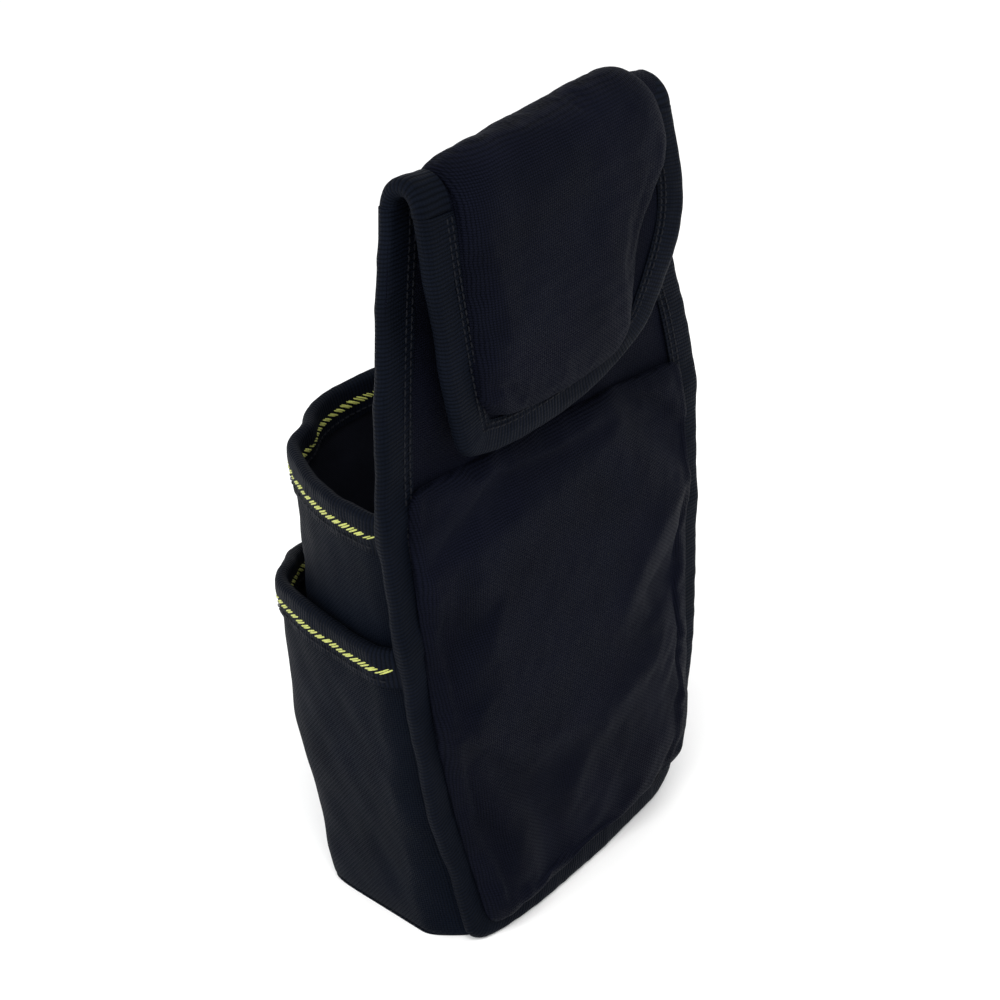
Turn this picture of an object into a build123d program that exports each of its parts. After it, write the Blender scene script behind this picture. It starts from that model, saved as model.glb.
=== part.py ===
from build123d import *
import math
import os

# Electrician's open-top tool pouch with a padded belt flap folded over its back.
# Frame: +Z up, +Y towards the wearer, pockets towards -Y, origin in the middle of the base's underside.
# All sizes are in millimetres.

# Driving sizes
overall_height = 300.0      # resting plane to the top of the fold
overall_width = 156.0       # back panel at its widest, over the tape
base_width = 134.0          # outside of the pockets at the base
base_depth = 64.5           # outside of the pockets at the base, front to back panel
mouth_width = 148.0         # outside of the upper pocket at its rim
mouth_depth = 92.0          # outside of the upper pocket at its rim, front to back panel
lower_mouth_width = 154.0   # outside of the lower pocket at its rim
lower_mouth_depth = 98.0    # outside of the lower pocket at its rim, front to back panel
ply = 1.2                   # one fabric ply
core = 2.0                  # thin core sheet between two plies
tape = 1.0                  # one leg of the folded binding tape
tape_width = 15.0           # folded width of the binding tape
stripe_width = 4.0          # woven stripe along the rim tape
stripe_drop = 7.4           # rim fold down to the middle of the stripe
stripe_rise = 0.35          # how far the stripe's yarns stand off the tape
pad_rise = 8.0              # thickness of the foam pads in the back and the flap
base_board_thickness = 2.0  # stiff board in the base
fold_radius = 9.6           # outside of the fold at the ridge
patch = 2.6                 # hook patch and loop patch, each
patch_height = 26.0         # hook patch and loop patch, up the panel
patch_width = 56.0          # hook patch and loop patch, across the panel

# Named clearances
fold_split = 0.4            # between the two halves of the fold
patch_gap = 0.4             # between the closed hook and loop patches
patch_edge_gap = 7.0        # flap's bottom tape to the hook patch
pad_edge_gap = 1.5          # binding tape to the foam pads
tape_end_gap = 1.5          # upper rim tape to the end of the back tape's pocket-side leg
ply_gap = 0.5               # between the two pockets' walls at the base
pad_top_gap = 1.5           # fold's centre line to the top of the flap's pad
attach_inset = 3.5          # edge of the back panel to where the lower pocket meets it
swell_reach = 12.0          # depth over which a pocket swells to its full width

# Derived heights
upper_rim = overall_height * 0.607
lower_rim = overall_height * 0.433
pad_top = overall_height * 0.634
wall = 2 * ply
stack = 2 * ply + core
fold_centre_z = overall_height - tape - fold_radius
back_face_y = base_depth / 2
fold_centre_y = back_face_y + fold_radius
flap_length = overall_height * 0.353
flap_corner_drop = 7.0
ridge_half = overall_width * 0.397
flap_corner_half = overall_width * 0.285
pad_inset = tape_width + pad_edge_gap
pad_slope = 3.5             # how far a pad's shoulders slope in
big = 4 * overall_height

# Half-width of the back panel against height, as fractions of the overall width and height
side_line = [
    (0.00, 0.392), (0.09, 0.420), (0.20, 0.455), (0.33, 0.478), (0.47, 0.493),
    (0.59, 0.500), (0.67, 0.490), (0.75, 0.458), (0.85, 0.430), (0.93, 0.410), (1.00, 0.397),
]


def panel_half_width(height):
    """Half-width of the back panel at a height, over its tape."""
    along = min(max(height / overall_height, 0.0), 1.0)
    for (low, low_half), (high, high_half) in zip(side_line, side_line[1:]):
        if along <= high:
            share = (along - low) / (high - low)
            return overall_width * (low_half + share * (high_half - low_half))
    return overall_width * side_line[-1][1]


def panel_outline(grow, bottom, top):
    """Face of the back panel seen from behind, grown sideways, between two heights."""
    inner = [along * overall_height for along, _ in side_line]
    heights = [bottom] + [z for z in inner if bottom + 6 < z < top - 6] + [top]
    right = [(panel_half_width(z) + grow, z) for z in heights]
    left = [(-x, z) for x, z in reversed(right)]
    edges = [
        Spline(*right),
        Line(right[-1], left[0]),
        Spline(*left),
        Line(left[-1], right[0]),
    ]
    face = make_face(edges)
    low = face.vertices().sort_by(Axis.Y)[0:2]
    return fillet(low, radius=8.0 + min(grow, 0) * 0.3)


def upright(face, front, back):
    """Extrude a face drawn in X and height from one depth to another."""
    solid = extrude(Plane.XZ * face, amount=front - back)
    return Pos(0, front, 0) * solid


def slab(low, high):
    """Everything between two heights."""
    return Pos(0, 0, (low + high) / 2) * Box(big, big, high - low)


def in_front_of(depth):
    """Everything on the pocket side of a depth."""
    return Pos(0, depth - big / 2, 0) * Box(big, big, big)


# Pocket walls
def rounded_corner(centre, across, out, side):
    """Quarter of an ellipse from the side of a pocket round to its front."""
    points = []
    for step in range(5):
        angle = math.pi / 2 * step / 4
        points.append((centre[0] + side * across * math.cos(angle), centre[1] - out * math.sin(angle)))
    return Spline(*points, tangents=[(0, -1), (-side, 0)])


def wall_ring(half_width, depth, corner_across, corner_out, attach_half, grow):
    """Plan outline of a pocket, round its front and past the back panel's face."""
    across = half_width + grow
    out = back_face_y - depth - grow
    inner_x = half_width - corner_across
    inner_y = back_face_y - depth + corner_out
    swell_y = back_face_y - swell_reach
    attach = attach_half + grow
    behind = back_face_y + 12
    corner_sizes = (corner_across + grow, corner_out + grow)
    edges = [
        Line((attach, behind), (attach, back_face_y)),
        Line((attach, back_face_y), (across, swell_y)),
        Line((across, swell_y), (across, inner_y)),
        rounded_corner((inner_x, inner_y), *corner_sizes, 1),
        Line((inner_x, out), (-inner_x, out)),
        rounded_corner((-inner_x, inner_y), *corner_sizes, -1),
        Line((-across, inner_y), (-across, swell_y)),
        Line((-across, swell_y), (-attach, back_face_y)),
        Line((-attach, back_face_y), (-attach, behind)),
        Line((-attach, behind), (attach, behind)),
    ]
    return make_face(edges)


def tub(stations, grow):
    """Filled pocket shape through its stations, grown outwards."""
    rings = [Pos(0, 0, z) * wall_ring(*sizes, grow) for z, *sizes in stations]
    return loft(rings, ruled=True)


def attach_at(height, step):
    """Half-width at which a pocket wall meets the back panel."""
    return panel_half_width(height) - attach_inset - step


# Each station is height, half-width, depth, corner size across and out, and half-width at the panel
middle = lower_rim * 0.46
step_in = wall + ply_gap
lower_stations = [
    (0.0, base_width / 2, base_depth, 13.0, 13.0, attach_at(0, 0)),
    (
        middle,
        base_width * 0.27 + lower_mouth_width * 0.23,
        base_depth * 0.45 + lower_mouth_depth * 0.55,
        lower_mouth_width * 0.20,
        lower_mouth_depth * 0.36,
        attach_at(middle, 0),
    ),
    (
        lower_rim,
        lower_mouth_width / 2,
        lower_mouth_depth,
        lower_mouth_width * 0.375,
        lower_mouth_depth * 0.735,
        attach_at(lower_rim, 0),
    ),
]
upper_stations = [
    (
        0.0,
        base_width / 2 - step_in,
        base_depth - step_in,
        13.0 - step_in,
        13.0 - step_in,
        attach_at(0, step_in),
    ),
    (
        middle,
        base_width * 0.37 + mouth_width * 0.12,
        base_depth * 0.74 + mouth_depth * 0.26,
        mouth_width * 0.15,
        mouth_depth * 0.26,
        attach_at(middle, step_in + 0.5),
    ),
    (
        lower_rim,
        base_width * 0.365 + mouth_width * 0.135,
        base_depth * 0.36 + mouth_depth * 0.64,
        mouth_width * 0.30,
        mouth_depth * 0.57,
        attach_at(lower_rim, step_in + 1.5),
    ),
    (
        upper_rim,
        mouth_width / 2,
        mouth_depth,
        mouth_width * 0.45,
        mouth_depth * 0.86,
        attach_at(upper_rim, 1.0),
    ),
]
for stations in (lower_stations, upper_stations):
    stations.append((stations[-1][0] + 8, *stations[-1][1:]))


def wall_ply(stations, outside, inside, low, high):
    """One ply of a pocket wall between two growths and two heights, open at the back."""
    shell = tub(stations, outside) - tub(stations, inside)
    return shell & slab(low, high) & in_front_of(back_face_y)


def rim_binding(stations, rim):
    """Tape folded over the top edge of a pocket wall."""
    around = wall_ply(stations, tape, -wall - tape, rim - tape_width, rim + tape)
    inside = wall_ply(stations, 0, -wall, rim - tape_width - 1, rim)
    return around - inside


def rim_stripe(stations, rim, outside, inside):
    """Woven stripe standing a little off one leg of the rim tape."""
    middle_z = rim + tape - stripe_drop
    return wall_ply(stations, outside, inside, middle_z - stripe_width / 2, middle_z + stripe_width / 2)


# Back panel and the near half of the fold
panel_bottom = tape


def back_sheet(outer, inner, grow):
    """Sheet of the back panel between two radii of the fold, with its quarter of the fold."""
    flat = upright(
        panel_outline(grow, panel_bottom - max(grow, 0), fold_centre_z),
        fold_centre_y - outer,
        fold_centre_y - inner,
    )
    return flat + fold_quarter(outer, inner, ridge_half + grow, 90, 180)


def fold_quarter(outer, inner, half, start, end):
    """Part of the fold between two radii and two angles measured from +Y upwards."""
    ring = Circle(outer) - Circle(inner)
    points = [(0, 0)]
    for step in range(9):
        angle = math.radians(start + (end - start) * step / 8)
        points.append((3 * outer * math.cos(angle), 3 * outer * math.sin(angle)))
    sector = make_face(Polyline(*points, close=True))
    wedge = ring & sector
    solid = extrude(Plane.YZ * wedge, amount=half, both=True)
    return Pos(0, fold_centre_y, fold_centre_z) * solid


def near_half(solid):
    """Keep the back panel's side of the fold split."""
    return solid & in_front_of(fold_centre_y - fold_split / 2)


def shouldered(outline, start, grow):
    """Pad with upright sides half way up and sloping shoulders above, from a face that can shrink."""
    shoulder = start + pad_rise / 2
    sides = upright(outline(grow), start, shoulder)
    low_face = Pos(0, shoulder, 0) * (Plane.XZ * outline(grow))
    high_face = Pos(0, start + pad_rise + grow, 0) * (Plane.XZ * outline(grow - pad_slope))
    return sides + loft([low_face, high_face], ruled=True)


def back_pad_face(grow):
    """Face of the back panel's foam pad, grown all round."""
    return panel_outline(-pad_inset - 1 + grow, pad_inset + 1 - grow, pad_top + grow)


def back_pad_block(grow):
    """Foam pad of the back panel, grown by a ply for its cover."""
    return shouldered(back_pad_face, fold_centre_y - fold_radius + ply + core, grow)


def make_back_lining():
    """Fabric ply on the pocket side, which runs on over the ridge."""
    return near_half(back_sheet(fold_radius, fold_radius - ply, -tape))


def make_back_core():
    """Thin core sheet between the two plies of the back panel."""
    return near_half(back_sheet(fold_radius - ply, fold_radius - ply - core, -tape))


def make_back_cover():
    """Fabric ply on the wearer's side, raised over the foam pad."""
    sheet = near_half(back_sheet(fold_radius - ply - core, fold_radius - stack, -tape))
    return sheet + back_pad_block(ply) - back_pad_block(0)


def make_back_binding():
    """Tape folded over the sides and the bottom of the back panel, up to the ridge."""
    around = back_sheet(fold_radius + tape, fold_radius - stack - tape, 0)
    filling = back_sheet(fold_radius, fold_radius - stack, -tape)
    window_face = panel_outline(-tape_width, tape_width, overall_height + 30)
    window = upright(window_face, back_face_y - 60, back_face_y + 60)
    pockets = slab(-big, upper_rim + tape + tape_end_gap) & in_front_of(back_face_y)
    return near_half(around) - filling - window - pockets


# Flap and the far half of the fold
flap_drop = fold_centre_z - (overall_height - flap_length)
patch_low_drop = flap_drop - tape_width - patch_edge_gap
belt_gap = 2 * fold_radius - 2 * stack
flap_tilt = math.degrees(math.asin((belt_gap - 2 * patch - patch_gap) / patch_low_drop))


def flap_outline(grow):
    """Face of the flap seen from behind, straight sides and a rounded bottom edge."""
    bottom = fold_centre_z - flap_drop
    corner = bottom + flap_corner_drop
    above = fold_centre_z + 40
    slope = (ridge_half - flap_corner_half) / (fold_centre_z - corner)
    wide = ridge_half + slope * 40
    edges = [
        Line((flap_corner_half, corner), (wide, above)),
        Line((wide, above), (-wide, above)),
        Line((-wide, above), (-flap_corner_half, corner)),
        ThreePointArc((-flap_corner_half, corner), (0, bottom), (flap_corner_half, corner)),
    ]
    face = make_face(edges)
    low = face.vertices().sort_by(Axis.Y)[0:2]
    face = fillet(low, radius=8.0)
    if grow:
        face = offset(face, amount=grow)
    below = Pos(0, fold_centre_z - big / 2) * Rectangle(big, big)
    return face & below


def tilted(solid):
    """Swing a flap solid towards the back panel about the fold's centre line."""
    axis = Axis((0, fold_centre_y, fold_centre_z), (-1, 0, 0))
    return solid.rotate(axis, flap_tilt)


def flap_sheet(outer, inner, grow):
    """Sheet of the flap between two radii of the fold, with its part of the fold."""
    flat = upright(flap_outline(grow), fold_centre_y + inner, fold_centre_y + outer)
    return tilted(flat) + fold_quarter(outer, inner, ridge_half + grow, -flap_tilt, 90)


def far_half(solid):
    """Keep the flap's side of the fold split."""
    return solid - (in_front_of(fold_centre_y + fold_split / 2) & slab(fold_centre_z, big))


def flap_pad_face(grow):
    """Face of the flap's foam pad, grown all round: straight sides and a straight bottom edge."""
    inset = pad_inset + 1 - grow
    slope = (ridge_half - flap_corner_half) / (flap_drop - flap_corner_drop)
    top = fold_centre_z - pad_top_gap + grow
    bottom = fold_centre_z - flap_drop + flap_corner_drop * 0.6 + inset
    top_half = ridge_half - slope * (fold_centre_z - top) - inset
    bottom_half = ridge_half - slope * (fold_centre_z - bottom) - inset
    outline = Polyline(
        (top_half, top), (-top_half, top), (-bottom_half, bottom), (bottom_half, bottom), close=True
    )
    face = make_face(outline)
    low = face.vertices().sort_by(Axis.Y)[0:2]
    return fillet(low, radius=6.0 + min(grow, 0) * 0.3)


def flap_pad_block(grow):
    """Foam pad of the flap, grown by a ply for its cover."""
    return shouldered(flap_pad_face, fold_centre_y + fold_radius - ply, grow)


def make_flap_cover():
    """Fabric ply on the outside of the flap, raised over the foam pad."""
    sheet = far_half(flap_sheet(fold_radius, fold_radius - ply, -tape))
    return sheet + tilted(flap_pad_block(ply)) - tilted(flap_pad_block(0))


def make_flap_core():
    """Thin core sheet between the two plies of the flap."""
    return far_half(flap_sheet(fold_radius - ply, fold_radius - ply - core, -tape))


def make_flap_lining():
    """Fabric ply on the belt side of the flap."""
    return far_half(flap_sheet(fold_radius - ply - core, fold_radius - stack, -tape))


def make_flap_binding():
    """Tape folded over the sides and the bottom of the flap, up to the ridge."""
    around = flap_sheet(fold_radius + tape, fold_radius - stack - tape, 0)
    filling = flap_sheet(fold_radius, fold_radius - stack, -tape)
    window_face = flap_outline(-tape_width)
    window = tilted(upright(window_face, fold_centre_y - 60, fold_centre_y + 60))
    through = fold_quarter(fold_radius + 20, 0.5, ridge_half - tape_width, -flap_tilt, 90)
    return far_half(around) - filling - window - through


def patch_face():
    """Outline of the hook patch and the loop patch, seen from behind."""
    middle_z = fold_centre_z - patch_low_drop + patch_height / 2
    return Pos(0, middle_z) * RectangleRounded(patch_width, patch_height, 4.0)


def make_hook_patch():
    """Hook patch on the belt side of the flap."""
    inner = fold_centre_y + fold_radius - stack
    return tilted(upright(patch_face(), inner - patch, inner))


def make_loop_patch():
    """Loop patch on the wearer's side of the back panel."""
    outer = fold_centre_y - fold_radius + stack
    return upright(patch_face(), outer, outer + patch)


# Base
def make_base_panel():
    """Fabric under the base, which the pouch rests on."""
    return tub(lower_stations, 0) & slab(0, ply) & in_front_of(back_face_y)


def make_base_board():
    """Stiff board inside the base."""
    return tub(upper_stations, -wall - 0.3) & slab(ply, ply + base_board_thickness) & in_front_of(back_face_y)


def make_base_lining():
    """Fabric over the base board, the floor of the upper pocket."""
    low = ply + base_board_thickness
    return tub(upper_stations, -wall - 0.3) & slab(low, low + ply) & in_front_of(back_face_y)


parts = {
    "base_panel": make_base_panel(),
    "base_board": make_base_board(),
    "base_lining": make_base_lining(),
    "back_lining": make_back_lining(),
    "back_core": make_back_core(),
    "back_pad": back_pad_block(0),
    "back_cover": make_back_cover(),
    "back_binding": make_back_binding(),
    "loop_patch": make_loop_patch(),
    "flap_cover": make_flap_cover(),
    "flap_pad": tilted(flap_pad_block(0)),
    "flap_core": make_flap_core(),
    "flap_lining": make_flap_lining(),
    "flap_binding": make_flap_binding(),
    "hook_patch": make_hook_patch(),
}

for name, stations, rim in (("upper", upper_stations, upper_rim), ("lower", lower_stations, lower_rim)):
    parts[name + "_wall_cover"] = wall_ply(stations, 0, -ply, ply, rim)
    parts[name + "_wall_lining"] = wall_ply(stations, -ply, -wall, ply, rim)
    parts[name + "_rim_binding"] = rim_binding(stations, rim)
    parts[name + "_rim_stripe_outer"] = rim_stripe(stations, rim, tape + stripe_rise, tape)
    parts[name + "_rim_stripe_inner"] = rim_stripe(stations, rim, -wall - tape, -wall - tape - stripe_rise)

os.makedirs("parts", exist_ok=True)
for name, shape in parts.items():
    export_step(shape, f"parts/{name}.step")
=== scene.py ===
"""Electrician's open-top tool pouch with a padded belt flap, dressed over its CAD frame."""

import logging
import math
from dataclasses import dataclass, field
from enum import Enum

import bmesh
import bpy
import numpy as np
from mathutils import Matrix, Vector


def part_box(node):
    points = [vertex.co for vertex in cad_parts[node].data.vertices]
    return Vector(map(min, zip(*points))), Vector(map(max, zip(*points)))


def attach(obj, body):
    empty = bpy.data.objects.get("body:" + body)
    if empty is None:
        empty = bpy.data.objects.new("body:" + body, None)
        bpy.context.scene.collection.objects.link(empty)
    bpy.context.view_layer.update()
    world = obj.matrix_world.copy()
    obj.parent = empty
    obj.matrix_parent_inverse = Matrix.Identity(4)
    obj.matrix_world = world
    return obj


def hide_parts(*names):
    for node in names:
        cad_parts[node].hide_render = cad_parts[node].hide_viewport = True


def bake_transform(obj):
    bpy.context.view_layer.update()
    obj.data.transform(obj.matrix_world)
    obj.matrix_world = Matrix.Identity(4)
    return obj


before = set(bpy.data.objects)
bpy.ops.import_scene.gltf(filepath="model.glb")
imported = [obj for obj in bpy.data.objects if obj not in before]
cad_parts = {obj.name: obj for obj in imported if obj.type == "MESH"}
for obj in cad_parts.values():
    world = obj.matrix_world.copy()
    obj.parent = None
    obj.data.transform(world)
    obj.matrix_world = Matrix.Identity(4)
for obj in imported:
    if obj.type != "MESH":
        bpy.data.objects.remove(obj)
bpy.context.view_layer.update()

LOG = logging.getLogger("pouch")
Obj = bpy.types.Object
Socket = bpy.types.NodeSocket
Colour = tuple[float, float, float]
Table = tuple[tuple[float, float], ...]

MM = 0.001              # one millimetre in metres
PLY = 1.2               # one fabric ply
CORE_INSET = 1.25       # face of a panel to its core sheet
EDGE_REACH = 15.0       # how far in from an edge its way into the cloth is measured
PAD_BACKING = 0.55      # thickness of a pad's flat back
SETTLE_FRAMES = 20      # frames that a pad's cloth takes to settle
FOOT_CLEARANCE = 0.25   # back panel's foot above the ground
STRIPE_DEPTH = 8.0      # rim's fold down to the middle of the yellow stripe
STITCHED_MARGIN = 2.2   # open edge of a tape to where its puff ends
BLUE_TINT = (0.6, 0.72, 1.0)


# ---------------------------------------------------------------- numbers and shapes
def lookup(table: Table, at: np.ndarray, soften: float = 4.0) -> np.ndarray:
    """Read a table of pairs as a softened curve.

    Straight lines between the pairs, averaged over five places up to ``soften`` to each side.

    Args:
        table: pairs of place and value, in order of place.
        at: the places to read.
        soften: how far to each side the average reaches.

    Returns:
        The values, in the shape of ``at``.
    """
    xs, ys = np.array(table, float).T
    at = np.asarray(at, float)
    return sum(np.interp(at + shift * soften, xs, ys) for shift in (-1, -0.5, 0, 0.5, 1)) / 5


def spans(left: Table, right: Table, at: np.ndarray, soften: float = 4.0) -> tuple[np.ndarray, np.ndarray]:
    """Return the middle and the half-width of what reaches ``left`` and ``right`` of the centre."""
    out_left, out_right = lookup(left, at, soften), lookup(right, at, soften)
    return (out_left - out_right) / 2, (out_left + out_right) / 2


def unit(vectors: np.ndarray) -> np.ndarray:
    """Return the vectors scaled to length one."""
    return vectors / np.maximum(np.linalg.norm(vectors, axis=-1, keepdims=True), 1e-9)


def ease(value: np.ndarray) -> np.ndarray:
    """Return a quarter circle's rise: 0 at 0, 1 from 1 on, upright at the start and flat at the end."""
    share = np.clip(value, 0, 1)
    return np.sqrt(np.maximum(1 - (1 - share) ** 2, 0))


def smooth(value: np.ndarray) -> np.ndarray:
    """Return the smooth step 3t^2 - 2t^3 of the value held between 0 and 1."""
    share = np.clip(value, 0, 1)
    return share * share * (3 - 2 * share)


def bell(value: np.ndarray) -> np.ndarray:
    """Return exp(-t^2)."""
    return np.exp(-np.square(value))


def ripple(a: np.ndarray, b: np.ndarray, size: float, seed: int) -> np.ndarray:
    """Soft unevenness over a surface.

    The sum of seven plane sine waves with set directions and phases, each of a length near ``size``.

    Args:
        a: first surface place, in millimetres.
        b: second surface place, in millimetres.
        size: typical distance from one swell to the next.
        seed: picks the directions and phases.

    Returns:
        Heights between about -1 and 1.
    """
    chance = np.random.default_rng(seed)
    total = 0.0
    for _ in range(7):
        angle, phase = chance.uniform(0, 2 * math.pi, 2)
        rate = 2 * math.pi / (size * chance.uniform(0.6, 1.6))
        total = total + np.sin(rate * (a * math.cos(angle) + b * math.sin(angle)) + phase)
    return total / 3.5


def lengths(points: np.ndarray) -> np.ndarray:
    """Return the distance along a line of points, from 0 at its first."""
    steps = np.linalg.norm(np.diff(points, axis=0), axis=1)
    return np.concatenate([[0.0], np.cumsum(steps)])


def grid_normals(points: np.ndarray) -> np.ndarray:
    """Return a grid surface's unit normals, the cross product of its two tangents."""
    return unit(np.cross(np.gradient(points, axis=0), np.gradient(points, axis=1)))


def make_mesh(name: str, points: np.ndarray, faces: np.ndarray, uv: np.ndarray) -> Obj:
    """Put arrays into a mesh object, with its faces turned outwards and shaded smooth.

    Args:
        name: the piece's name.
        points: corner places in millimetres, one row each.
        faces: four corner numbers a row.
        uv: cloth coordinates in metres, one row for each corner place.

    Returns:
        The new object, at the origin.
    """
    mesh = bpy.data.meshes.new(name)
    mesh.vertices.add(len(points))
    mesh.vertices.foreach_set("co", (points * MM).astype(np.float32).ravel())
    mesh.loops.add(faces.size)
    mesh.loops.foreach_set("vertex_index", faces.astype(np.int32).ravel())
    mesh.polygons.add(len(faces))
    mesh.polygons.foreach_set("loop_start", np.arange(0, faces.size, 4, dtype=np.int32))
    mesh.update(calc_edges=True)
    layer = mesh.uv_layers.new(name="Cloth")
    layer.data.foreach_set("uv", uv[faces.ravel()].astype(np.float32).ravel())
    mesh.validate()
    work = bmesh.new()
    work.from_mesh(mesh)
    bmesh.ops.recalc_face_normals(work, faces=work.faces)
    work.to_mesh(mesh)
    work.free()
    mesh.polygons.foreach_set("use_smooth", np.ones(len(mesh.polygons), bool))
    mesh.set_sharp_from_angle(angle=math.radians(60))
    obj = bpy.data.objects.new(name, mesh)
    bpy.context.scene.collection.objects.link(obj)
    return obj


def shell_faces(rows: int, cols: int) -> np.ndarray:
    """Faces of a closed shell, capped at both ends: a row is a ring of outer then reversed inner points."""
    ring = 2 * cols
    i = np.arange(rows - 1)[:, None] * ring
    j = np.arange(ring)[None, :]
    k = (j + 1) % ring
    sides = np.stack([i + j, i + k, i + ring + k, i + ring + j], -1).reshape(-1, 4)
    j = np.arange(cols - 1)
    cap = np.stack([j, ring - 1 - j, ring - 2 - j, j + 1], -1)
    return np.concatenate([sides, cap, cap[:, ::-1] + (rows - 1) * ring])


def shell(name: str, outer: np.ndarray, inner: np.ndarray) -> Obj:
    """Close two facing grid surfaces into one piece of cloth.

    Args:
        name: the piece's name.
        outer: rows by columns by 3 points, in millimetres.
        inner: the same grid on the cloth's other face.

    Returns:
        The closed piece, its cloth coordinates being the distances along its middle row and column.
    """
    rows, cols = outer.shape[:2]
    points = np.concatenate([outer, inner[:, ::-1]], axis=1)
    u = lengths(outer[:, cols // 2])[:, None]
    v = lengths(outer[rows // 2])[None, :]
    flat = np.stack(np.broadcast_arrays(u, v), -1)
    uv = np.concatenate([flat, flat[:, ::-1]], axis=1).reshape(-1, 2) * MM
    return make_mesh(name, points.reshape(-1, 3), shell_faces(rows, cols), uv)


@dataclass
class EdgeLine:
    """A cloth edge: its places, the way into the cloth, and the way its face looks.

    A point is the edge place, plus the way in times its depth, plus the facing times its height.
    """

    place: np.ndarray
    into: np.ndarray
    facing: np.ndarray
    along: np.ndarray = field(init=False)

    def __post_init__(self) -> None:
        """Measure the edge."""
        self.along = lengths(self.place)

    @property
    def length(self) -> float:
        """The edge's length in millimetres."""
        return float(self.along[-1])

    def at(self, along: np.ndarray, depth: np.ndarray, height: np.ndarray) -> np.ndarray:
        """Points at distances along, depths into and heights off the cloth, which broadcast together."""
        along, depth, height = np.broadcast_arrays(along, depth, height)

        def read(values: np.ndarray) -> np.ndarray:
            """Values at the asked distances along."""
            return np.stack([np.interp(along, self.along, values[:, k]) for k in range(3)], -1)

        facing = unit(read(self.facing))
        return read(self.place) + read(self.into) * depth[..., None] + facing * height[..., None]


@dataclass
class FoldedTape:
    """Binding tape folded over a cloth edge, puffed a little between its fold and its stitching."""

    width: float = 14.6
    cloth: float = 4.4
    thick: float = 1.0
    puff: float = 0.45
    step: float = 1.4
    seed: int = 3

    def half(self) -> float:
        """Half of the folded tape's full thickness."""
        return self.cloth / 2 + self.thick

    def section(self, inside: bool) -> tuple[np.ndarray, np.ndarray]:
        """Depths and heights of the tape's U section: a leg, a half circle, and the other leg."""
        half = self.cloth / 2 + (0.05 if inside else self.thick)
        start = self.thick if inside else 0.0
        centre = start + half
        turn = np.linspace(math.pi / 2, 3 * math.pi / 2, 9)
        leg = np.linspace(self.width, centre, 9)[:-1]
        other = np.linspace(centre, self.width, 9)[1:]
        depth = np.concatenate([leg, centre + half * np.cos(turn), other])
        height = np.concatenate([np.full(8, half), half * np.sin(turn), np.full(8, -half)])
        return depth, height

    def build(self, name: str, line: EdgeLine, bumps: tuple[float, ...] = (), flare: float = 0.0) -> Obj:
        """Sew the tape round an edge.

        Args:
            name: the piece's name.
            line: the edge.
            bumps: heights at which something is caught under the tape, in millimetres above the floor.
            flare: how far the fold stands off towards the facing side.

        Returns:
            The tape as a closed piece.
        """
        along = np.linspace(0, line.length, max(8, int(line.length / self.step)))[:, None]
        surfaces = []
        for inside in (False, True):
            depth, height = self.section(inside)
            swell = np.sin(math.pi * np.clip(depth / (self.width - STITCHED_MARGIN), 0, 1))
            waves = ripple(along, depth[None, :], 26.0, self.seed) * 0.35
            fine = 0.12 * ripple(along, depth[None, :], 7.0, self.seed + 1)
            rise = np.sign(height) * (self.puff * swell + fine)
            lift = height[None, :] + rise + waves * 0.6
            z = np.interp(along, line.along, line.place[:, 2])
            for bump in bumps:
                lift = lift + np.sign(height) * 0.9 * bell((z - bump) / 7.0)
            lift = lift + flare * np.clip(1 - depth / self.width, 0, 1) ** 1.3
            surfaces.append(line.at(along, depth[None, :] + waves * 0.8, lift))
        return shell(name, *surfaces)


@dataclass
class StitchRow:
    """A row of lockstitches: short thread capsules that dip into the cloth at both ends."""

    pitch: float = 3.1
    length: float = 2.5
    thread: float = 0.36
    around: int = 6
    steps: int = 7

    def build(self, name: str, line: EdgeLine, depth: float, height: float, trim: float = 2.0) -> Obj:
        """Lay the row along a cloth edge.

        Each stitch is a tube along the edge. Its radius is the thread's times the root of 1 - t^2, and
        its middle rises by 1 - t^2, with t from -1 to 1 along it.

        Args:
            name: the piece's name.
            line: the edge it follows.
            depth: distance in from the edge.
            height: height of the cloth's face there.
            trim: length left bare at each end.

        Returns:
            All the stitches as one piece.
        """
        count = max(1, int((line.length - 2 * trim) / self.pitch))
        middle = trim + (np.arange(count) + 0.5) * (line.length - 2 * trim) / count
        return self.lay(name, line, middle, np.full(count, depth), height, 0.0)

    def lay(
        self,
        name: str,
        line: EdgeLine,
        middle: np.ndarray,
        depth: np.ndarray,
        height: float,
        slant: float,
        rise: float = 0.28,
    ) -> Obj:
        """Lay threads whose middles are at given places, turned by ``slant`` radians off the edge's way."""
        t = np.sin(np.linspace(-math.pi / 2, math.pi / 2, self.steps))[:, None]
        turn = np.linspace(0, 2 * math.pi, self.around, endpoint=False)[None, :]
        radius = self.thread * np.sqrt(np.maximum(1 - t**4, 0.004))
        side = radius * np.cos(turn)
        up = 0.6 * radius * np.sin(turn) + rise * (1 - t**2) - 0.12
        run = t * self.length / 2 + 0 * turn
        s = run * math.cos(slant) - side * math.sin(slant)
        a = run * math.sin(slant) + side * math.cos(slant)
        middle, depth = middle[:, None, None], depth[:, None, None]
        points = line.at(middle + s, depth + a, height + up + 0 * middle)
        one = shell_faces(self.steps, self.around // 2)
        size = self.steps * self.around
        faces = (one[None] + np.arange(len(middle))[:, None, None] * size).reshape(-1, 4)
        uv = np.stack(np.broadcast_arrays(s[None] + middle, a[None] + 0 * middle), -1)
        return make_mesh(name, points.reshape(-1, 3), faces, uv.reshape(-1, 2) * MM)


# ---------------------------------------------------------------- finishes
class Lay(Enum):
    """What a woven pattern follows."""

    CLOTH = "the piece's own cloth coordinates"
    UPRIGHT = "the object's width and height"


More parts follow.
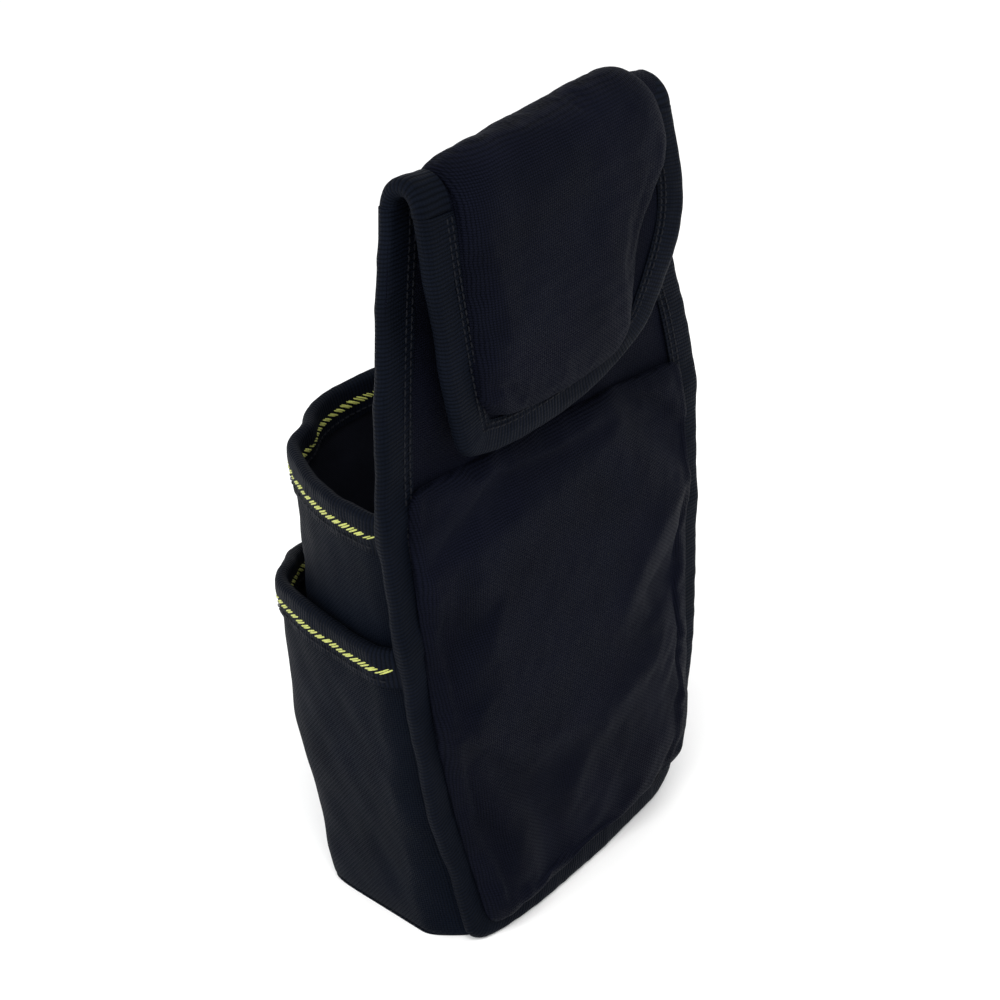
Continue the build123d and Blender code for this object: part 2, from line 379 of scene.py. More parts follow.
class Nodes:
    """Small helper that adds nodes to a material and links them."""

    def __init__(self, name: str) -> None:
        """Start an empty material with one shader."""
        self.material = bpy.data.materials.new(name)
        self.material.use_nodes = True
        self.tree = self.material.node_tree
        self.tree.nodes.clear()
        self.out = self.tree.nodes.new("ShaderNodeOutputMaterial")
        self.shader = self.tree.nodes.new("ShaderNodeBsdfPrincipled")
        self.tree.links.new(self.shader.outputs[0], self.out.inputs[0])

    def add(self, kind: str, inputs: dict | None = None, **settings: object) -> bpy.types.Node:
        """Add one node, set its properties, and set or link its inputs."""
        node = self.tree.nodes.new(kind)
        for key, value in settings.items():
            setattr(node, key, value)
        for key, value in (inputs or {}).items():
            self.feed(node.inputs[key], value)
        return node

    def feed(self, socket: Socket, value: object) -> None:
        """Link a socket to an output, or set its value."""
        if isinstance(value, Socket):
            self.tree.links.new(value, socket)
        else:
            socket.default_value = value

    def sum(self, operation: str, *values: object) -> Socket:
        """Return the result of a maths node."""
        node = self.add("ShaderNodeMath", operation=operation)
        for socket, value in zip(node.inputs, values):
            self.feed(socket, value)
        return node.outputs[0]

    def arch(self, value: Socket) -> Socket:
        """Return |sin(pi v)|, a row of arches one unit apart."""
        return self.sum("ABSOLUTE", self.sum("SINE", self.sum("MULTIPLY", value, math.pi)))

    def spot(self) -> Socket:
        """Return the object's own coordinates."""
        return self.add("ShaderNodeTexCoord").outputs["Object"]

    def place(self, lay: Lay) -> Socket:
        """Return the coordinates a pattern follows, in metres."""
        if lay is Lay.CLOTH:
            return self.add("ShaderNodeUVMap", uv_map="Cloth").outputs[0]
        parts = self.add("ShaderNodeSeparateXYZ", {0: self.spot()})
        return self.add("ShaderNodeCombineXYZ", {0: parts.outputs[0], 1: parts.outputs[2], 2: 0.0}).outputs[0]

    def noise(self, scale: float, detail: float) -> Socket:
        """Return a noise factor on object coordinates."""
        node = self.add("ShaderNodeTexNoise", {"Vector": self.spot(), "Scale": scale, "Detail": detail})
        return node.outputs["Fac"]

    def ramp(self, factor: Socket, low: tuple, high: tuple, start: float = 0.0, end: float = 1.0) -> Socket:
        """Return a colour that goes from low to high as the factor goes from start to end."""
        node = self.add("ShaderNodeValToRGB", {0: factor})
        first, last = node.color_ramp.elements
        first.position, first.color = start, (*low, 1)
        last.position, last.color = end, (*high, 1)
        return node.outputs[0]

    def paint(self, colour: Socket) -> None:
        """Give the shader its colour."""
        self.feed(self.shader.inputs["Base Color"], colour)

    def worn(self, colour: Socket, scale: float, low: Colour, high: Colour, end: float) -> None:
        """Paint a colour made lighter and darker in soft blotches."""
        blotches = self.ramp(self.noise(scale, 4.0), low, high, 0.3, end)
        inputs = {0: 1.0, 6: colour, 7: blotches}
        self.paint(self.add("ShaderNodeMix", inputs, data_type="RGBA", blend_type="MULTIPLY").outputs[2])

    def relief(self, strength: float, distance: float, height: Socket, under: Socket | None = None) -> Socket:
        """Raise the shader's surface by a height, over an earlier relief if there is one."""
        inputs = {"Strength": strength, "Distance": distance, "Height": height}
        if under is not None:
            inputs["Normal"] = under
        normal = self.add("ShaderNodeBump", inputs).outputs[0]
        self.feed(self.shader.inputs["Normal"], normal)
        return normal

    def shade(self, roughness: float, specular: float, sheen: float, spread: float, tint: Colour) -> None:
        """Set the shader's plain values."""
        for key, value in {
            "Roughness": roughness,
            "Specular IOR Level": specular,
            "Sheen Weight": sheen,
            "Sheen Roughness": spread,
            "Sheen Tint": (*tint, 1),
            "Specular Tint": (*tint, 1),
        }.items():
            self.shader.inputs[key].default_value = value


@dataclass(frozen=True)
class Finish:
    """A procedural material between a dark and a light colour."""

    name: str
    dark: Colour
    light: Colour

    def material(self) -> bpy.types.Material:
        """Build the material."""
        nodes = Nodes(self.name)
        self.draw(nodes)
        return nodes.material

    def draw(self, n: Nodes) -> None:
        """Lay the pattern's colour and relief."""
        raise NotImplementedError


@dataclass(frozen=True)
class Weave(Finish):
    """Plain-woven polyester: warp and weft floats that pass over each other in turn.

    The height is the larger yarn's arch, |sin| across it times a shallower |sin| along it; which yarn is
    on top alternates like a chessboard. The colour follows the height, the dark colour being painted shade
    between and under the yarns.
    on top alternates like a chessboard.
    """

    pitch: float = 0.00092
    depth: float = 0.0003
    turn: float = 0.0
    lay: Lay = Lay.CLOTH
    roughness: float = 0.62
    sheen: float = 0.008
    specular: float = 0.035

    def draw(self, n: Nodes) -> None:
        """Lay the pattern."""
        place = n.place(self.lay)
        scale = 1 / self.pitch
        mapped = n.add(
            "ShaderNodeMapping", {"Vector": place, "Rotation": (0, 0, self.turn), "Scale": (scale, scale, 1)}
        ).outputs[0]
        wander = n.noise(260.0, 2.0)
        parts = n.add("ShaderNodeSeparateXYZ", {0: mapped})
        a = n.sum("MULTIPLY_ADD", wander, 0.5, parts.outputs[0])
        b = n.sum("MULTIPLY_ADD", wander, -0.5, parts.outputs[1])
        arch_a, arch_b = n.arch(a), n.arch(b)
        chess = n.sum("MODULO", n.sum("ADD", n.sum("FLOOR", a), n.sum("FLOOR", b)), 2.0)
        over = n.sum("ABSOLUTE", chess)
        warp = n.sum("MULTIPLY", arch_a, n.sum("MULTIPLY_ADD", arch_b, 0.45, 0.55))
        weft = n.sum("MULTIPLY", arch_b, n.sum("MULTIPLY_ADD", arch_a, 0.45, 0.55))
        under = n.sum("SUBTRACT", 1.0, over)
        height = n.sum("ADD", n.sum("MULTIPLY", warp, over), n.sum("MULTIPLY", weft, under))
        # colour by yarn height: the dark colour is painted shade in the low places between the yarns
        colour = n.ramp(height, self.dark, self.light, 0.12, 0.85)
        n.worn(colour, 38.0, (0.78, 0.78, 0.78), (1.22, 1.22, 1.25), 0.72)
        fuzzy = n.sum("ADD", height, n.sum("MULTIPLY", n.noise(2600.0, 2.0), 0.35))
        n.relief(0.5, 0.0012, n.noise(85.0, 3.0), n.relief(0.85, self.depth, fuzzy))
        n.shade(self.roughness, self.specular, self.sheen, 0.45, BLUE_TINT)


@dataclass(frozen=True)
class Ribbed(Finish):
    """Ribbed webbing: fine ribs across the tape, |sin| of the distance along it, fine yarns along it, painted
    shade in the grooves.
    """

    rib: float = 0.0015
    depth: float = 0.00024
    roughness: float = 0.6
    sheen: float = 0.008
    specular: float = 0.04

    def draw(self, n: Nodes) -> None:
        """Lay the pattern."""
        parts = n.add("ShaderNodeSeparateXYZ", {0: n.place(Lay.CLOTH)})
        wander = n.noise(220.0, 2.0)
        along = n.sum("MULTIPLY_ADD", wander, 0.6, n.sum("DIVIDE", parts.outputs[0], self.rib))
        across = n.sum("DIVIDE", parts.outputs[1], self.rib * 0.8)
        height = n.sum("MULTIPLY", n.arch(along), n.sum("MULTIPLY_ADD", n.arch(across), 0.35, 0.65))
        # colour by rib height: the dark colour is painted shade in the grooves between the ribs
        colour = n.ramp(height, self.dark, self.light, 0.1, 0.9)
        n.worn(colour, 45.0, (0.8, 0.8, 0.8), (1.2, 1.2, 1.22), 0.7)
        n.relief(0.8, self.depth, n.sum("ADD", height, n.sum("MULTIPLY", n.noise(2400.0, 2.0), 0.4)))
        n.shade(self.roughness, self.specular, self.sheen, 0.4, BLUE_TINT)


@dataclass(frozen=True)
class Yarn(Finish):
    """Twisted thread: fine slanting lines round it, random tone, and painted shade between its strands."""

    twist: float = 0.00042
    roughness: float = 0.55
    sheen: float = 0.02
    specular: float = 0.3

    def draw(self, n: Nodes) -> None:
        """Lay the pattern."""
        parts = n.add("ShaderNodeSeparateXYZ", {0: n.place(Lay.CLOTH)})
        slant = n.sum("DIVIDE", n.sum("ADD", parts.outputs[0], parts.outputs[1]), self.twist)
        strands = n.arch(slant)
        # random tone plus painted shade between the strands
        tone_and_strand_shade = n.sum("MULTIPLY_ADD", n.noise(700.0, 3.0), 0.6, n.sum("MULTIPLY", strands, 0.5))
        n.paint(n.ramp(tone_and_strand_shade, self.dark, self.light, 0.2, 0.85))
        n.relief(0.6, 0.0001, strands)
        n.shade(self.roughness, self.specular, self.sheen, 0.4, (0.9, 0.95, 1.0))


@dataclass(frozen=True)
class Pile(Finish):
    """Brushed loops or small hooks: a fine cell pattern raised from the backing, with painted shade in its low
    places.
    """

    cell: float = 1400.0
    depth: float = 0.0006

    def draw(self, n: Nodes) -> None:
        """Lay the pattern."""
        cells = n.add("ShaderNodeTexVoronoi", {"Vector": n.spot(), "Scale": self.cell}).outputs["Distance"]
        # colour by cell: light on the raised middles, painted shade towards the low cell edges
        n.paint(n.ramp(cells, self.light, self.dark, 0.1, 0.7))
        high = n.sum("MULTIPLY_ADD", n.noise(900.0, 3.0), 0.6, n.sum("SUBTRACT", 1.0, cells))
        n.relief(0.9, self.depth, high)
        n.shade(0.85, 0.2, 0.3, 0.5, (0.8, 0.85, 1.0))


@dataclass(frozen=True)
class Foam(Finish):
    """Closed-cell foam or thin board: fine cells over a matt skin."""

    cell: float = 900.0
    roughness: float = 0.9

    def draw(self, n: Nodes) -> None:
        """Lay the pattern."""
        grain = n.noise(self.cell, 4.0)
        n.paint(n.ramp(grain, self.dark, self.light, 0.3, 0.7))
        n.relief(0.5, 0.0003, grain)
        n.shade(self.roughness, 0.2, 0.0, 0.5, (1.0, 1.0, 1.0))


class Finishes:
    """Every finish of the pouch, made once."""

    def __init__(self) -> None:
        """Build the materials."""
        # weaves: gap is painted shade between the yarns, yarn the yarns' own colour on their tops
        gap, yarn = (0.0005, 0.0006, 0.0016), (0.0028, 0.0032, 0.0072)
        self.pad = Weave("padded_weave_upright", gap, yarn, lay=Lay.UPRIGHT, turn=math.radians(4)).material()
        self.wall = Weave("wall_weave", (0.0003, 0.0006, 0.0014), (0.0016, 0.0028, 0.0062)).material()
        self.panel = Weave("panel_weave", gap, yarn, turn=math.radians(2)).material()
        # lining: gap is painted shade between the yarns, yarn the yarns' own colour
        gap, yarn = (0.0016, 0.0018, 0.003), (0.0055, 0.006, 0.009)
        self.lining = Weave("lining_weave", gap, yarn, pitch=0.0006, depth=0.00012, roughness=0.55).material()
        # tape: the first colour is painted shade between the ribs, the second the ribs' own colour
        self.tape = Ribbed("ribbed_tape", (0.0006, 0.0009, 0.0016), (0.0024, 0.0034, 0.0066)).material()
        # yellow floats: the dark yellow is painted shade between the strands, the light yellow their own colour
        self.stripe = Yarn("yellow_floats", (0.16, 0.17, 0.02), (0.5, 0.53, 0.13), sheen=0.05).material()
        # black thread: the dark colour is painted shade between the strands
        dark, light = (0.0015, 0.0017, 0.0028), (0.006, 0.0066, 0.010)
        self.thread = Yarn("black_thread", dark, light, roughness=0.6, specular=0.08).material()
        self.foam = Foam("grey_foam", (0.02, 0.02, 0.024), (0.045, 0.045, 0.05)).material()
        self.board = Foam("board", (0.015, 0.015, 0.015), (0.03, 0.03, 0.03), 300.0, 0.6).material()
        # pile patches: the dark colour is painted shade between the loops and between the hooks
        self.loop = Pile("loop_pile", (0.003, 0.0032, 0.004), (0.016, 0.017, 0.02)).material()
        self.hook = Pile("hook_pile", (0.003, 0.003, 0.004), (0.012, 0.012, 0.015), 2200.0, 0.0004).material()


# ---------------------------------------------------------------- the pouch's soft form
@dataclass
class PouchForm:
    """The pouch's outline as it stands, soft and a little uneven. Millimetres."""

    left: Table = (
        (0, 60), (27, 62), (54, 67.6), (94, 71.7), (129, 74.7), (153, 76), (175, 77.4), (200, 75.9),
        (217, 73.7), (238, 71), (261, 67.4), (280, 64), (300, 61.5),
    )
    right: Table = (
        (0, 61), (22, 64.5), (39, 69.3), (65, 72.9), (100, 75.6), (134, 77.6), (155, 78.6), (176, 79),
        (193, 77.4), (211, 73.9), (222, 70.5), (250, 66), (280, 63.5), (300, 62),
    )
    ridge: Table = (
        (-62, 302), (-54, 305.5), (-44, 307), (-34, 306.5), (-20, 305), (5, 302.5), (30, 300), (48, 300),
        (62, 301),
    )
    fold_right: Table = ((-3, 55.0), (0, 55.0), (90, 54.0), (130, 58.0), (170, 62.2), (183, 62.5))
    fold_left: Table = ((-3, 61.5), (0, 61.5), (90, 61.0), (183, 62.0))
    bow_foot: Table = ((-66, -8.0), (-44, -3.5), (-13, 3.0), (27, 8.5), (49, 9.0), (58, 6.5), (66, 4.5))
    bow_reach: float = 85.0
    corner_left: float = 5.0
    corner_right: float = 17.0
    stack: float = 4.4
    fold_radius: float = 7.4
    tilt: float = math.radians(2.6)
    front: float = 0.0
    middle: float = 0.0
    fold_y: float = 0.0

    def __post_init__(self) -> None:
        """Take the back panel's place from the frame."""
        self.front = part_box("base_panel")[1][1] / MM
        self.middle = self.front + self.stack / 2
        self.fold_y = self.middle + self.fold_radius

    def halves(self, z: np.ndarray) -> tuple[np.ndarray, np.ndarray]:
        """Sideways middle and half-width of the back panel at heights."""
        return spans(self.left, self.right, z)

    def bow(self, x: np.ndarray, z: np.ndarray) -> np.ndarray:
        """How far the panel bows towards the wearer: its foot's curve, fading with height."""
        return lookup(self.bow_foot, x, 5.0) * np.square(np.clip(1 - z / self.bow_reach, 0, 1))

    def fold_z(self, x: np.ndarray) -> np.ndarray:
        """Height of the fold's centre line."""
        return lookup(self.ridge, x, 6.0) - self.fold_radius - self.stack / 2 - 1.0

    def panel(self, share: np.ndarray, z: np.ndarray, lift: np.ndarray) -> np.ndarray:
        """Points of the back panel: share -1 to 1 across, height, and lift towards the wearer."""
        share, z, lift = np.broadcast_arrays(share, z, lift)
        centre, half = self.halves(z)
        x = centre + share * half
        return np.stack([x, self.middle + self.bow(x, z) + lift, z], -1)

    def panel_grid(self, rows: int, cols: int, inset: float, lift: float) -> np.ndarray:
        """The whole panel as a grid, its lower corners rounded, up to the fold's centre line."""
        share = np.linspace(-1, 1, cols)[None, :] * (1 - inset / 70.0)
        up = np.linspace(0, 1, rows)[:, None]
        x = share * 61.0
        radius = np.where(share > 0, self.corner_left, self.corner_right)
        over = np.clip(np.abs(x) - (60.0 - radius), 0, radius)
        foot = inset + radius - np.sqrt(np.maximum(radius**2 - over**2, 0))
        z = foot + up * (self.fold_z(x) - foot)
        return self.panel(share, z, lift)

    def panel_edge(self, inset: float) -> np.ndarray:
        """Edge line of the panel: down the wearer's left, round the foot, and up the right, set in evenly."""
        top = self.fold_z(np.array([61.0]))[0], self.fold_z(np.array([-61.0]))[0]

        def side(sign: float, start: float, end: float, count: int) -> np.ndarray:
            """Points up or down one side."""
            z = np.linspace(start, end, count)
            centre, half = self.halves(z)
            return np.stack([centre + sign * (half - inset), z], -1)

        def corner(sign: float, radius: float, begin: float, finish: float) -> np.ndarray:
            """Points round a lower corner, with the radius less the inset."""
            tight = max(radius - inset, 0.8)
            centre, half = self.halves(np.array([radius]))
            angle = np.linspace(begin, finish, 14)[1:-1]
            x0 = centre[0] + sign * (half[0] - inset - tight)
            z = FOOT_CLEARANCE + inset + tight - tight * np.sin(angle)
            return np.stack([x0 + sign * tight * np.cos(angle), z], -1)

        left, right = self.corner_left, self.corner_right
        low_left, low_right = max(left, inset + 0.8), max(right, inset + 0.8)
        parts = [
            side(1, top[0], low_left + 0.6, 70),
            corner(1, left, 0, math.pi / 2),
        ]
        start, end = parts[1][-1][0], -self.halves(np.array([right]))[1][0] + low_right
        foot = np.linspace(start - 0.5, end, 50)
        parts.append(np.stack([foot, np.full(50, FOOT_CLEARANCE + inset)], -1))
        parts.append(corner(-1, right, math.pi / 2, 0))
        parts.append(side(-1, low_right + 0.6, top[1], 70))
        flat = np.concatenate(parts)
        x, z = flat.T
        return np.stack([x, self.middle + self.bow(x, z), z], -1)

    def edge_line(self) -> EdgeLine:
        """The panel's edge with its way in and its facing."""
        outer, inner = self.panel_edge(0.0), self.panel_edge(EDGE_REACH)
        facing = np.tile([0.0, 1.0, 0.0], (len(outer), 1))
        return EdgeLine(outer, (inner - outer) / EDGE_REACH, facing)

    def fold(self, share: np.ndarray, angle: np.ndarray, lift: np.ndarray) -> np.ndarray:
        """Points of the fold: a circle about its centre line, its angle measured up from the flap's side."""
        share, angle, lift = np.broadcast_arrays(share, angle, lift)
        turn = np.degrees(angle)
        centre, half = spans(self.fold_left, self.fold_right, turn, 8.0)
        x = centre + share * half
        radius = self.fold_radius + lift
        y, z = self.fold_y + radius * np.cos(angle), self.fold_z(x) + radius * np.sin(angle)
        return np.stack([x, y, z], -1)


@dataclass
class FlapForm:
    """The flap's outline below the fold, in distances down from the fold's centre line. Millimetres."""

    form: PouchForm
    left: Table = ((-5, 61.5), (0, 61.3), (24, 59.2), (54, 55.3), (76, 51.4), (87, 48.8), (96, 46.0))
    right: Table = (
        (-5, 54.0), (0, 54.5), (12, 56.2), (22, 57.6), (33, 57.8), (45, 56.0), (57, 52.2), (67, 48.2),
        (79, 42.0), (90, 35),
    )
    bottom: Table = (
        (-1.05, 79.0), (-1, 80.5), (-0.9, 84.5), (-0.75, 88.5), (-0.55, 91.5), (-0.3, 93.5), (0, 94.3),
        (0.35, 94.2), (0.65, 93.0), (0.85, 91.2), (1, 89.6), (1.05, 89.0),
    )
    flare: float = 3.0

    def drop(self, share: np.ndarray) -> np.ndarray:
        """Length down to the bottom edge, rounding up to its corners."""
        return lookup(self.bottom, share, 0.06)

    def point(self, share: np.ndarray, down: np.ndarray, lift: np.ndarray) -> np.ndarray:
        """Points of the flap: share across, distance down, and lift away from the belt."""
        share, down, lift = np.broadcast_arrays(share, down, lift)
        centre, half = spans(self.left, self.right, down)
        x = centre + share * half
        f = self.form
        cos, sin = math.cos(f.tilt), math.sin(f.tilt)
        radius = f.fold_radius + lift
        droop = 0.8 * np.sin(np.clip(down / 95, 0, 1) * math.pi)
        droop = droop + self.flare * smooth((-share - 0.45) / 0.55) * bell((down - 38) / 30)
        y = f.fold_y + (radius + droop) * cos - down * sin
        z = f.fold_z(x) - (radius + droop) * sin - down * cos
        return np.stack([x, y, z], -1)

    def edge(self, inset: float) -> np.ndarray:
        """Edge line of the flap: down its left, along its bottom, and up its right, set in evenly."""
        down_left = np.linspace(0, self.drop(np.array(1.0)) - 2.0, 40)
        down_right = np.linspace(0, self.drop(np.array(-1.0)) - 2.0, 40)
        across = np.linspace(0.97, -0.97, 60)
        share = np.concatenate([np.ones(40), across, -np.ones(40)])
        down = np.concatenate([down_left, self.drop(across), down_right[::-1]])
        flat = self.point(share, down, 0.0)
        line = np.stack([flat[:, 0], -down], -1)
        for _ in range(3):
            line[1:-1] = (line[:-2] + 2 * line[1:-1] + line[2:]) / 4
        along = np.gradient(line, axis=0)
        inward = unit(np.stack([along[:, 1], -along[:, 0]], -1))
        for _ in range(int(inset)):
            inward[1:-1] = unit(inward[:-2] + 2 * inward[1:-1] + inward[2:])
        inward[0] = inward[-1] = (0, 0)
        inward[0, 0], inward[-1, 0] = -1, 1
        moved = line + inward * inset
        depth = -moved[:, 1]
        centre, half = spans(self.left, self.right, depth)
        return self.point((moved[:, 0] - centre) / half, depth, 0.0)

    def edge_line(self) -> EdgeLine:
        """The flap's edge with its way in and its facing."""
        outer, inner = self.edge(0.0), self.edge(EDGE_REACH)
        f = self.form
        facing = np.tile([0.0, math.cos(f.tilt), -math.sin(f.tilt)], (len(outer), 1))
        return EdgeLine(outer, (inner - outer) / EDGE_REACH, facing)


def dress(obj: Obj, material: bpy.types.Material, slot: str, body: str, *nodes: str) -> None:
    """Give a piece its finish and its body, and hide the frame nodes it stands for."""
    obj.data.materials.clear()
    obj.data.materials.append(material)
    if nodes:
        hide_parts(*nodes)
    if body:
        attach(obj, body)
    LOG.info("%s: %d faces, stands for %s", obj.name, len(obj.data.polygons), ", ".join(nodes) or "itself")


def places(obj: Obj) -> np.ndarray:
    """A mesh's corner places in millimetres."""
    flat = np.empty(len(obj.data.vertices) * 3, np.float32)
    obj.data.vertices.foreach_get("co", flat)
    return flat.reshape(-1, 3).astype(float) / MM


def move_to(obj: Obj, at: np.ndarray) -> None:
    """Put a mesh's corners at places in millimetres."""
    obj.data.vertices.foreach_set("co", (at * MM).astype(np.float32).ravel())
    obj.data.update()


def inflate(obj: Obj, held: np.ndarray, cap: float, pressure: float = 4.0, growth: float = 0.05) -> None:
    """Fill a closed pad by cloth simulation and keep the result in its mesh.

    Args:
        obj: the pad, closed.
        held: one weight for each corner, 1 where it is sewn down.
        cap: the furthest a corner may move, in millimetres.
        pressure: the air's pressure.
        growth: how much larger than its seams the cloth is cut.
    """
    group = obj.vertex_groups.new(name="sewn")
    group.add(np.nonzero(held > 0.5)[0].tolist(), 1.0, "REPLACE")
    cloth = obj.modifiers.new("fill", "CLOTH")
    s = cloth.settings
    s.quality = 6
    s.mass = 0.25
    s.tension_stiffness = s.compression_stiffness = 18
    s.shear_stiffness = 8
    s.bending_stiffness = 0.35
    s.tension_damping = s.compression_damping = s.shear_damping = 8
    s.air_damping = 2.0
    s.vertex_group_mass = "sewn"
    s.pin_stiffness = 1.0
    s.shrink_min = -growth
    s.use_pressure = True
    s.uniform_pressure_force = pressure
    s.effector_weights.gravity = 0
    cloth.collision_settings.use_collision = False
    cloth.point_cache.frame_start, cloth.point_cache.frame_end = 1, SETTLE_FRAMES
    before = places(obj)
    scene = bpy.context.scene
    for number in range(1, SETTLE_FRAMES + 1):
        scene.frame_set(number)
    settled = obj.evaluated_get(bpy.context.evaluated_depsgraph_get())
    moved = places(settled) - before
    size = np.linalg.norm(moved, axis=1, keepdims=True)
    moved *= np.minimum(1, cap / np.maximum(size, 1e-6))
    obj.modifiers.remove(cloth)
    obj.vertex_groups.remove(group)
    move_to(obj, before + moved)
    scene.frame_set(1)
    LOG.info("%s: filled, furthest %.1f mm", obj.name, float(size.max()))


def finish_soft(obj: Obj) -> None:
    """Add one level of subdivision, the same on screen and in renders."""
    level = obj.modifiers.new("soften", "SUBSURF")
    level.levels = level.render_levels = 1


def stitch(name: str, line: EdgeLine, tape: FoldedTape, depths: tuple, finishes: Finishes, body: str) -> None:
    """Run rows of stitches along a tape, at depths in from its fold."""
    for number, depth in enumerate(depths):
        row = StitchRow().build(f"{name}_tape_stitches_{number + 1}", line, depth, tape.half() + 0.3)
        dress(row, finishes.thread, "tape", body)


def plies(form: PouchForm, finishes: Finishes) -> list[tuple]:
    """Kind, lowest and highest face, finish and slot of each sheet in a panel."""
    half = form.stack / 2
    return [
        ("cover", half - PLY, half, finishes.panel, "cover_fabric"),
        ("core", -half + CORE_INSET, half - CORE_INSET, finishes.foam, "core_sheet"),
        ("lining", -half, -half + PLY, finishes.lining, "lining"),
    ]


# ---------------------------------------------------------------- sub-assemblies
@dataclass
class BackPanel:
    """The back panel: plies, core, foam-backed lower pad, edge tape and loop patch."""

    form: PouchForm
    finishes: Finishes
    pad_left: Table = (
        (8, 53.4), (25, 55.2), (52, 59.2), (75, 62.2), (93, 64.7), (127, 66.2), (173, 68), (186, 67),
        (196, 65.5),
    )
    pad_right: Table = (
        (8, 56), (15, 60), (29, 64.2), (44, 65.8), (65, 66.5), (86, 66.5), (106, 67.5), (140, 69),
        (179, 68.5), (196, 66),
    )
    pad_foot: Table = ((-64, 17), (-50, 15.5), (-35, 14), (0, 10.5), (30, 7.5), (56, 6))
    pad_top: float = 190.5
    pad_rise: float = 9.5
    pad_grid: float = 2.6
    tape_width: float = 13.6
    wrinkles: tuple[tuple[tuple[float, float], tuple[float, float], float, float], ...] = (
        # start and end across and up, half width, height
        ((-62, 148), (-14, 96), 5.0, 1.5),
        ((-64, 122), (-24, 84), 9.0, -1.2),
        ((-60, 80), (-10, 70), 6.0, 1.5),
        ((-20, 74), (22, 22), 6.5, 1.7),
        ((-58, 52), (-8, 40), 13.0, -1.7),
        ((16, 34), (-8, 20), 5.5, -2.6),
        ((44, 150), (12, 120), 10.0, -0.7),
        ((20, 178), (-30, 168), 8.0, -0.7),
        ((-30, 182), (-58, 150), 7.0, -0.7),
    )

    def plies(self) -> None:
        """Lay the three flat sheets that make up the panel."""
        rows, cols = 150, 81
        for kind, low, high, material, slot in plies(self.form, self.finishes):
            grids = [self.form.panel_grid(rows, cols, PLY, lift) for lift in (high, low)]
            ruffle = 0.35 * ripple(grids[0][..., 0], grids[0][..., 2], 34.0, 11)
            ruffle = ruffle * smooth((grids[0][..., 2] - 12) / 20) * smooth((284 - grids[0][..., 2]) / 10)
            for grid in grids:
                grid[..., 1] += ruffle
            dress(shell(f"back_{kind}_sheet", *grids), material, slot, "pouch", f"back_{kind}")

    def pad(self) -> None:
        """Make the padded lower panel: a pillow sewn down along the tape and along its top seam."""
        f = self.form
        cols, rows = int(138 / self.pad_grid), int(186 / self.pad_grid)
        share = np.linspace(-1, 1, cols)[None, :]
        up = np.linspace(0, 1, rows)[:, None]
        foot = lookup(self.pad_foot, share * 60, 5.0)
        z = foot + up * (self.pad_top + 1.5 * np.cos(share * math.pi / 2) - foot)
        pad_centre, pad_half = spans(self.pad_left, self.pad_right, z)
        corner = np.where(share > 0, 3.0, 5.0)
        tuck = corner * (1 - ease((z - foot) / (2.2 * corner)))
        top_tuck = 2.5 * (1 - ease((self.pad_top - z) / 7))
        x = pad_centre + share * (pad_half - tuck - top_tuck)
        centre, half = f.halves(z)
        into = half - np.abs(x - centre)
        over_tape = smooth((self.tape_width + 2.0 - np.minimum(into, z)) / 2.5)
        base = f.stack / 2 + 0.1 + 1.75 * over_tape
        edge = self.rim(x, z, 9.0)
        lift = base + (self.pad_rise - 3.4) * edge * (1 - 0.12 * over_tape)
        front = f.panel((x - centre) / half, z, lift)
        behind = f.panel((x - centre) / half, z, base - PAD_BACKING + 0 * lift)
        obj = shell("back_pad_cover", front, behind)
        held = np.concatenate([edge < 0.25, np.ones_like(edge, bool)], axis=1).reshape(-1)
        inflate(obj, held.astype(float), cap=4.5, growth=0.035)
        self.crease(obj)
        finish_soft(obj)
        dress(obj, self.finishes.pad, "cover_fabric", "pouch", "back_pad")

    def rim(self, x: np.ndarray, z: np.ndarray, reach: float) -> np.ndarray:
        """How full the pad is: 0 at its seam, rising by a quarter circle to 1 at ``reach`` within it."""
        side = np.where(x > 0, lookup(self.pad_left, z) - x, lookup(self.pad_right, z) + x)
        low = z - lookup(self.pad_foot, x, 5.0)
        return ease(side / reach) * ease(low / reach) * ease((self.pad_top + 1.5 - z) / 8.0)

    def crease(self, obj: Obj) -> None:
        """Press the pad's slack folds and its soft unevenness in.

        Each fold is a bell across a line between two places, faded at both of its ends.
        """
        at = places(obj)
        x, y, z = at.T
        rise = np.clip((y - self.form.middle - self.form.bow(x, z) - 5.2) / 4.0, 0, 1)
        shift = 0.55 * ripple(x, z, 42.0, 21) + 0.2 * ripple(x, z, 13.0, 22)
        for start, end, width, height in self.wrinkles:
            run = np.subtract(end, start)
            size = np.linalg.norm(run)
            t = ((x - start[0]) * run[0] + (z - start[1]) * run[1]) / size**2
            off = ((x - start[0]) * run[1] - (z - start[1]) * run[0]) / size
            off = off + 2.5 * np.sin(np.clip(t, 0, 1) * 4.2)
            shift = shift + height * bell(off / width) * smooth(1.25 * np.sin(np.clip(t, 0, 1) * math.pi))
        fold = self.rim(x, z, 16.0)
        pucker = 0.4 * np.sin((x + z) * 2 * math.pi / 9.5 + 2 * ripple(x, z, 30.0, 5))
        pucker = pucker * bell((fold - 0.75) / 0.2)
        at[:, 1] += rise * (shift + pucker)
        move_to(obj, at)

    def edge_tape(self) -> None:
        """Fold the tape round the panel's edge and run two rows of stitches along it."""
        line = self.form.edge_line()
        tape = FoldedTape(self.tape_width, cloth=4.2, thick=0.8, puff=0.35, seed=31)
        obj = tape.build("back_edge_tape", line, bumps=(129.0, 178.0))
        dress(obj, self.finishes.tape, "tape", "pouch", "back_binding")
        stitch("back", line, tape, (9.8, 12.2), self.finishes, "pouch")

